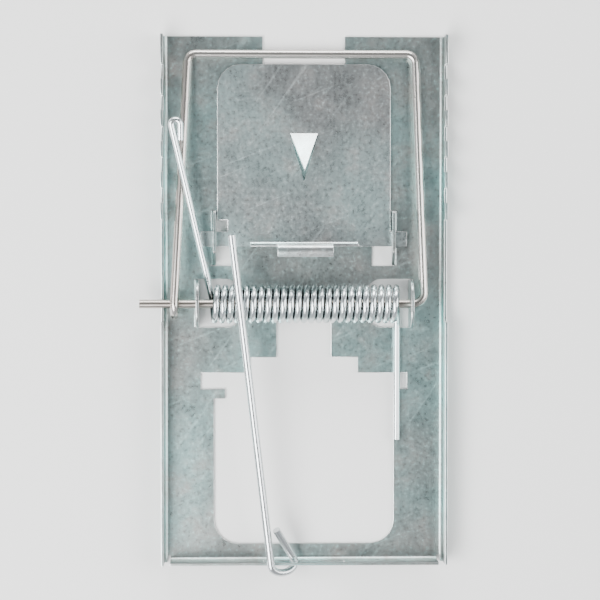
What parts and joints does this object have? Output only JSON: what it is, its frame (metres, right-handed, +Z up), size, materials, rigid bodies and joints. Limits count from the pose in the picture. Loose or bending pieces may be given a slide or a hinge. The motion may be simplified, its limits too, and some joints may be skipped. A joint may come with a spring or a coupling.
{
  "type": "snap mouse trap",
  "caption": "All-metal snap mouse trap: pressed sheet base with folded edges, hinged bait treadle, wire striker on a coil spring, and a hinged wire lock bar.",
  "frame": {"origin": "centre of the bounding box seen from above, on the base plate's underside", "axes": "+Y towards the bait end, +Z up off the surface it stands on, +X to the right seen from above"},
  "size_m": [0.0568, 0.1, 0.0108],
  "materials": {
    "base_zinc": "zinc plated sheet, blue-green passivated, mottled and lightly scuffed",
    "treadle_zinc": "zinc plated sheet, a little greyer than the base",
    "striker_wire": "bright zinc plated round wire, drawn along its length",
    "spring_wire": "bright zinc plated spring wire",
    "lock_wire": "zinc plated round wire"
  },
  "bodies": {
    "base": {"base_plate": "base_zinc", "torsion_spring": "spring_wire"},
    "striker": {"striker": "striker_wire"},
    "treadle": {"treadle": "treadle_zinc"},
    "lock_bar": {"lock_bar": "lock_wire"}
  },
  "joints": [
    {"name": "striker_swing", "type": "hinge", "parent": "base", "child": "striker", "pos_m": [0.00195, 0.00045, 0.0045], "axis": [1, 0, 0], "range_deg": [0, 187], "stiffness_Nm_per_rad": 0.15, "springref_deg": -68.75, "deforming": ["torsion_spring"]},
    {"name": "treadle_tilt", "type": "hinge", "parent": "base", "child": "treadle", "pos_m": [0.00195, 0.01245, 0.0012], "axis": [1, 0, 0], "range_deg": [0, 10]},
    {"name": "lock_bar_lift", "type": "hinge", "parent": "base", "child": "lock_bar", "pos_m": [-0.00205, -0.0477, 0.0044], "axis": [1, 0, 0], "range_deg": [0, 150]}
  ]
}
